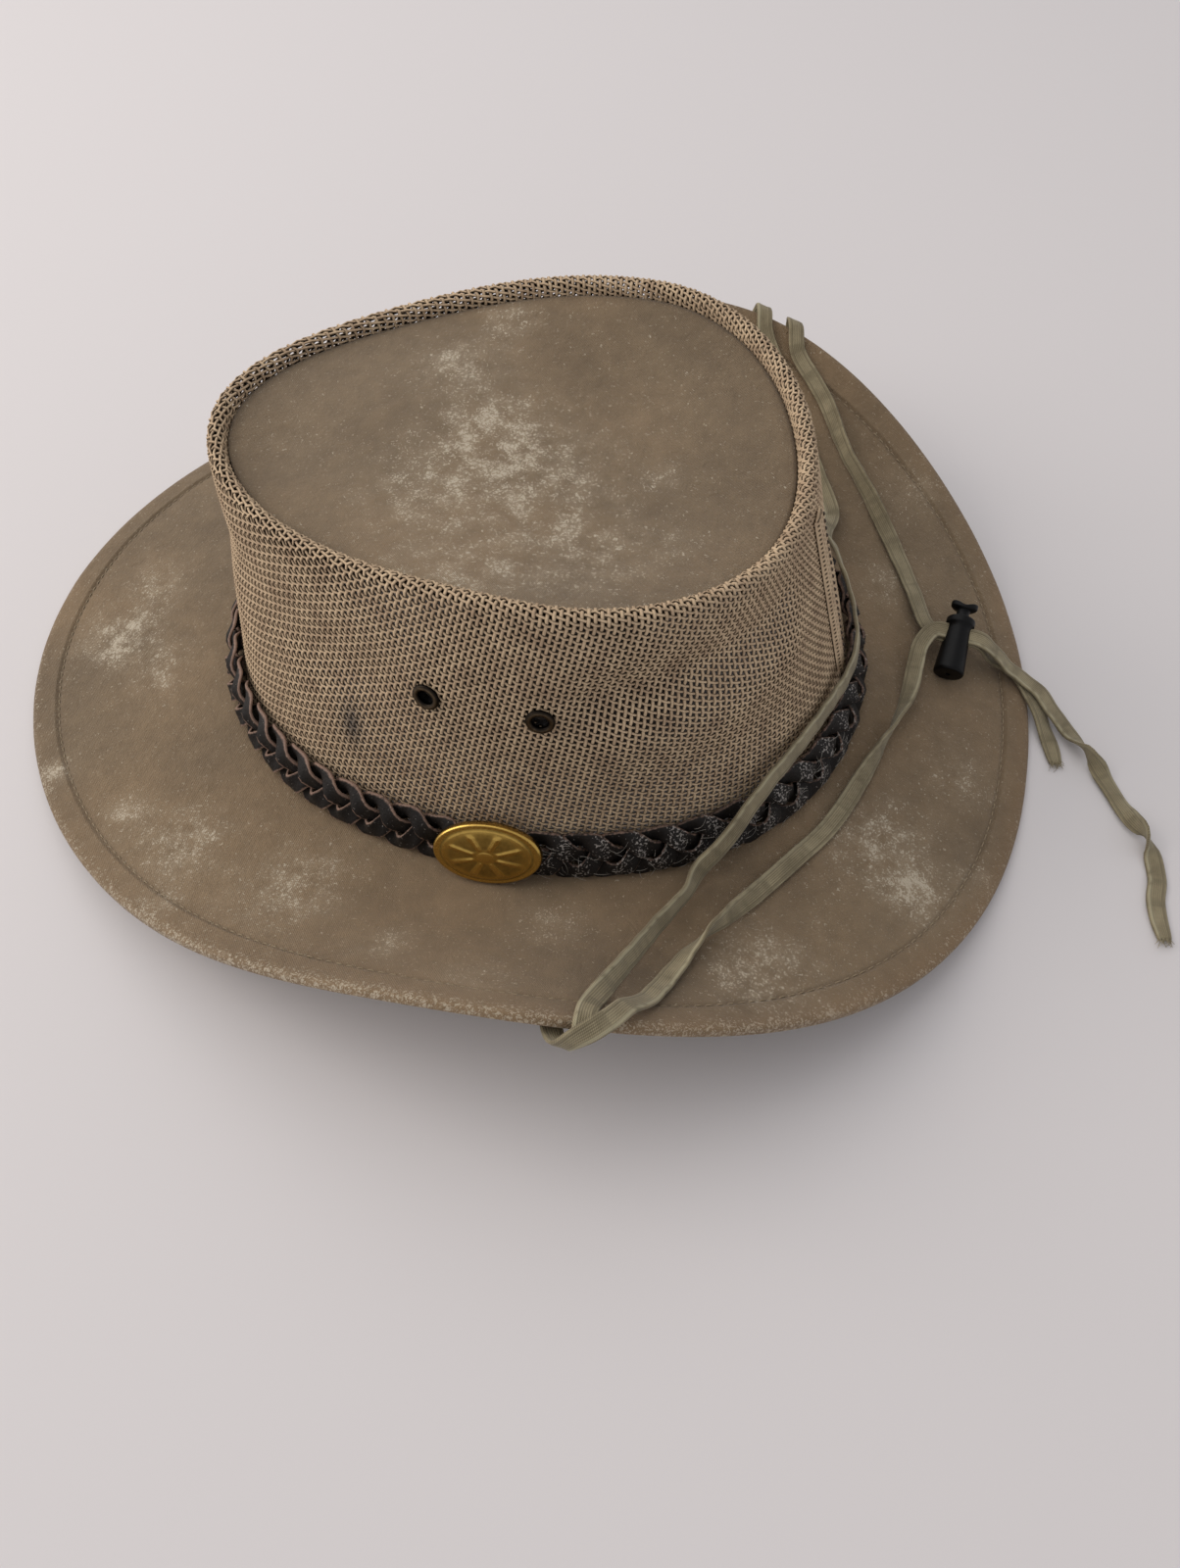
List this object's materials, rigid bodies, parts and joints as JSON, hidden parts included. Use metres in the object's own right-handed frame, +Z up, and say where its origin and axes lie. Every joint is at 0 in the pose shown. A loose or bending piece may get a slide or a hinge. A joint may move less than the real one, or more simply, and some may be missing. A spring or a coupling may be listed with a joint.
{
  "type": "wide-brim sun hat",
  "caption": "Wide-brim sun hat with curled canvas brim, mesh crown with sunk tip, braided leather band with oval badge, vent eyelets and flat chin strap with a sliding cord lock.",
  "frame": {"origin": "centre of the hat's box at the surface that it rests on, the chin strap and its lock left out", "axes": "+Z up, +Y towards the back seam, -Y towards the front of the brim, +X the wearer's left"},
  "size_m": [0.2991, 0.3945, 0.1118],
  "materials": {
    "waxed_canvas": "distressed waxed cotton canvas, matt, taupe",
    "woven_mesh": "open plain-woven mesh of stiff tan threads",
    "braid_leather": "dark brown leather thongs with raw edges, worn",
    "badge_brass": "cast brass with darkened recesses, polished high spots",
    "eyelet_metal": "blackened brass, satin",
    "cotton_tape": "woven cotton tape, olive, stitched",
    "black_plastic": "moulded black nylon, semi-gloss"
  },
  "bodies": {
    "hat": {"brim": "waxed_canvas", "crown_tip": "waxed_canvas", "crown_mesh_wall": "woven_mesh", "back_seam": "woven_mesh", "braid_strand_1": "braid_leather", "braid_strand_2": "braid_leather", "braid_strand_3": "braid_leather", "badge": "badge_brass", "eyelet_left_rear": "eyelet_metal", "eyelet_left_front": "eyelet_metal", "eyelet_right_rear": "eyelet_metal", "eyelet_right_front": "eyelet_metal", "strap_left": "cotton_tape", "strap_right": "cotton_tape", "strap_rear": "cotton_tape", "strap_tab_left": "cotton_tape", "strap_tab_right": "cotton_tape", "lock_barrel": "black_plastic"},
    "plunger": {"lock_plunger": "black_plastic"}
  },
  "joints": [
    {"name": "plunger_press", "type": "slide", "parent": "hat", "child": "plunger", "axis": [0.9646, -0.0506, -0.2588], "range_m": [0, 0.0035], "stiffness_N_per_m": 400, "springref_m": -0.003}
  ]
}
